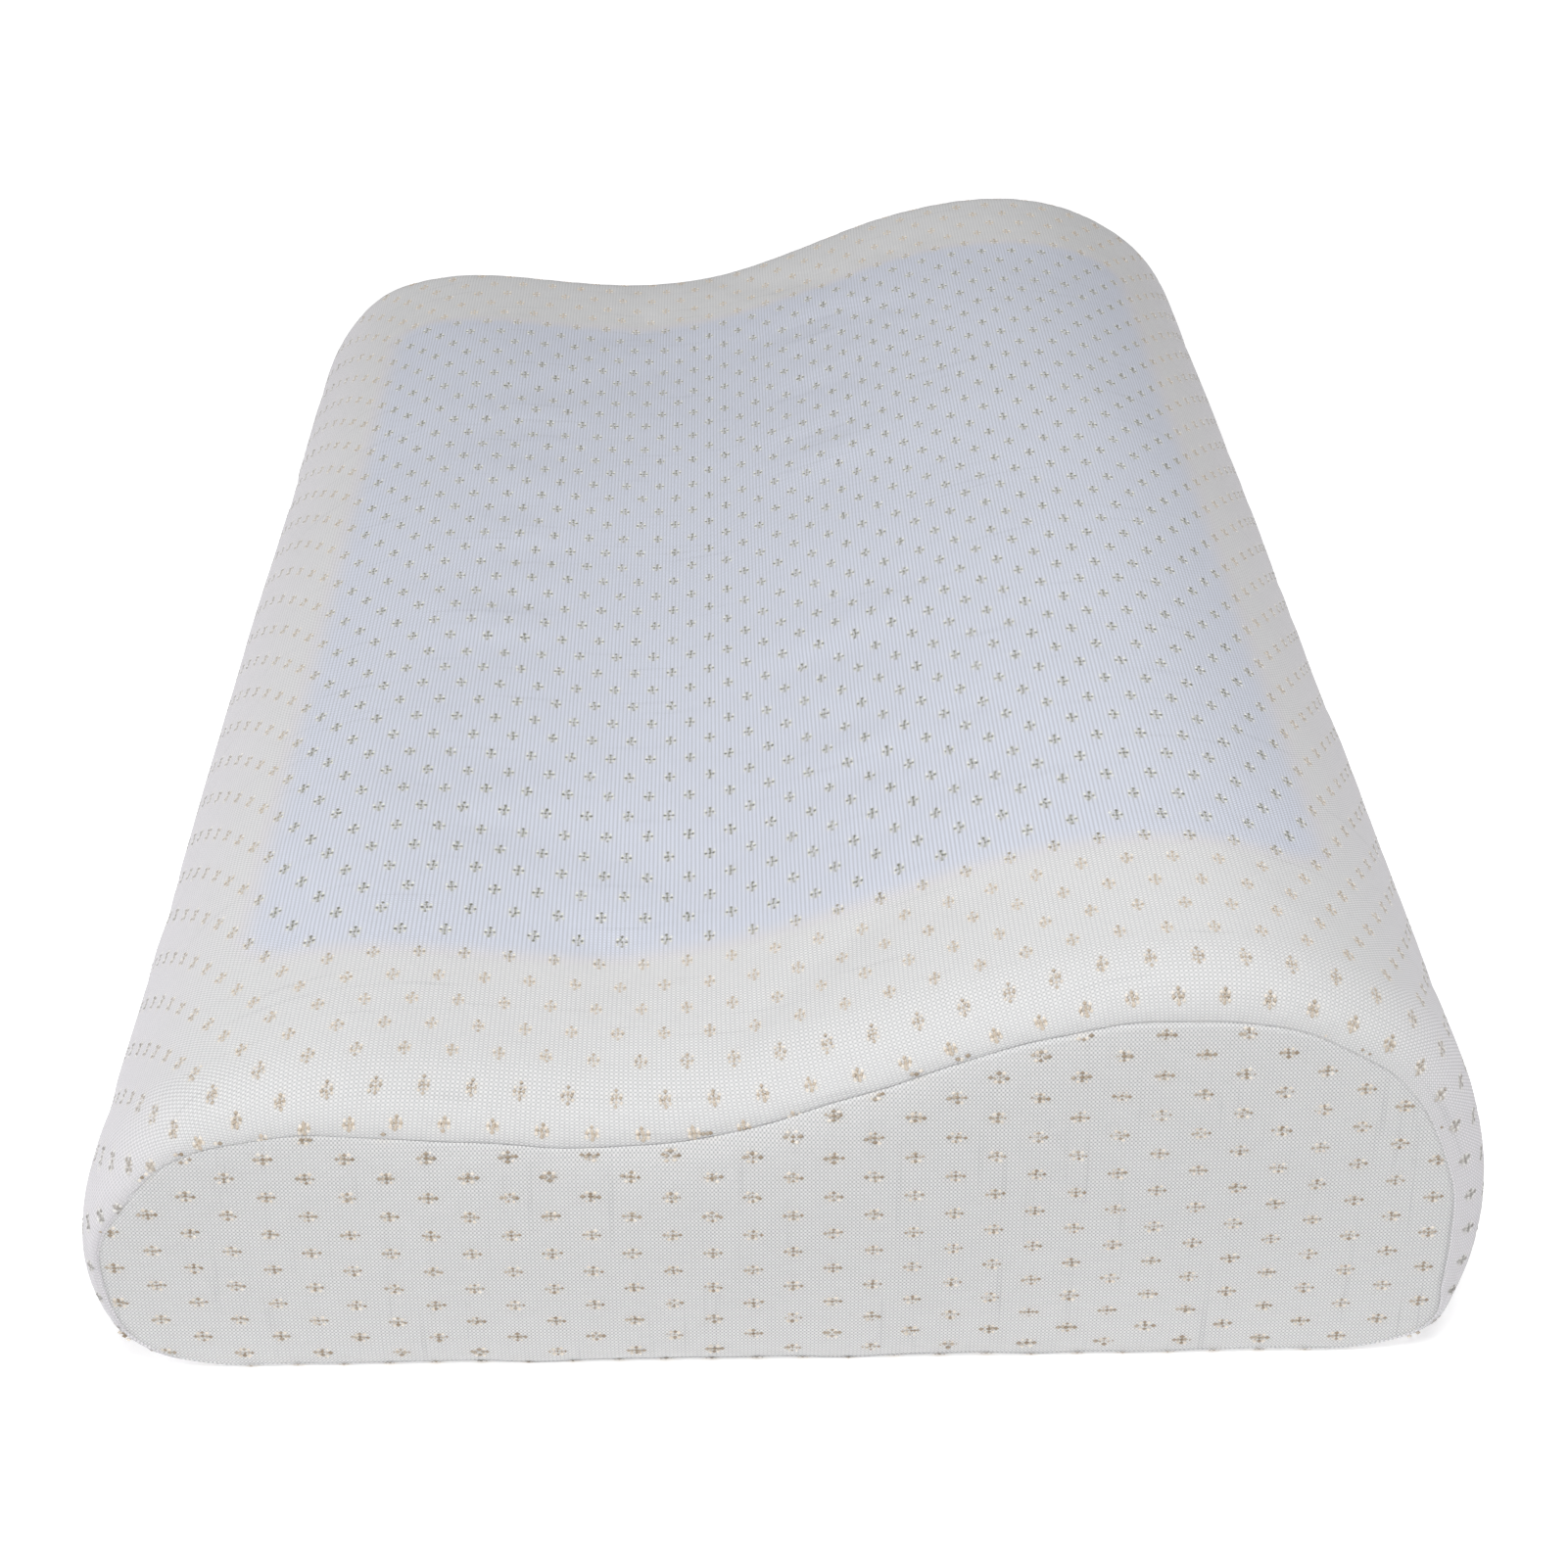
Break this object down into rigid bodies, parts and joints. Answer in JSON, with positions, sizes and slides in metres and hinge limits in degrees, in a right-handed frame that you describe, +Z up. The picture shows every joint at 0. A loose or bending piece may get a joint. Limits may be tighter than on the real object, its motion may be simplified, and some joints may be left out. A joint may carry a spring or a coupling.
{
  "type": "cervical pillow",
  "caption": "Contour cervical pillow with a low and a high lobe, a shallow dip between them for the neck, a knitted cover with rolled ends, and a cooling gel pad under the top",
  "frame": {"origin": "Centre of the base, on the surface that the pillow rests on.", "axes": "+X runs across the pillow from the low lobe to the high lobe, +Y runs along its length, +Z is up."},
  "size_m": [0.3033, 0.5074, 0.0968],
  "materials": {
    "cover_knit": "soft white double knit with fine ribs along the length and small beige crosses in staggered rows",
    "end_knit": "the same white knit turned a quarter turn, with small beige crosses in staggered rows",
    "gel_under_knit": "soft blue gel, seen through the white knit as a pale blue field with soft edges"
  },
  "bodies": {
    "root": {"pillow_body": "cover_knit", "end_panel_near": "end_knit", "end_panel_far": "end_knit", "gel_pad": "gel_under_knit"}
  },
  "joints": []
}
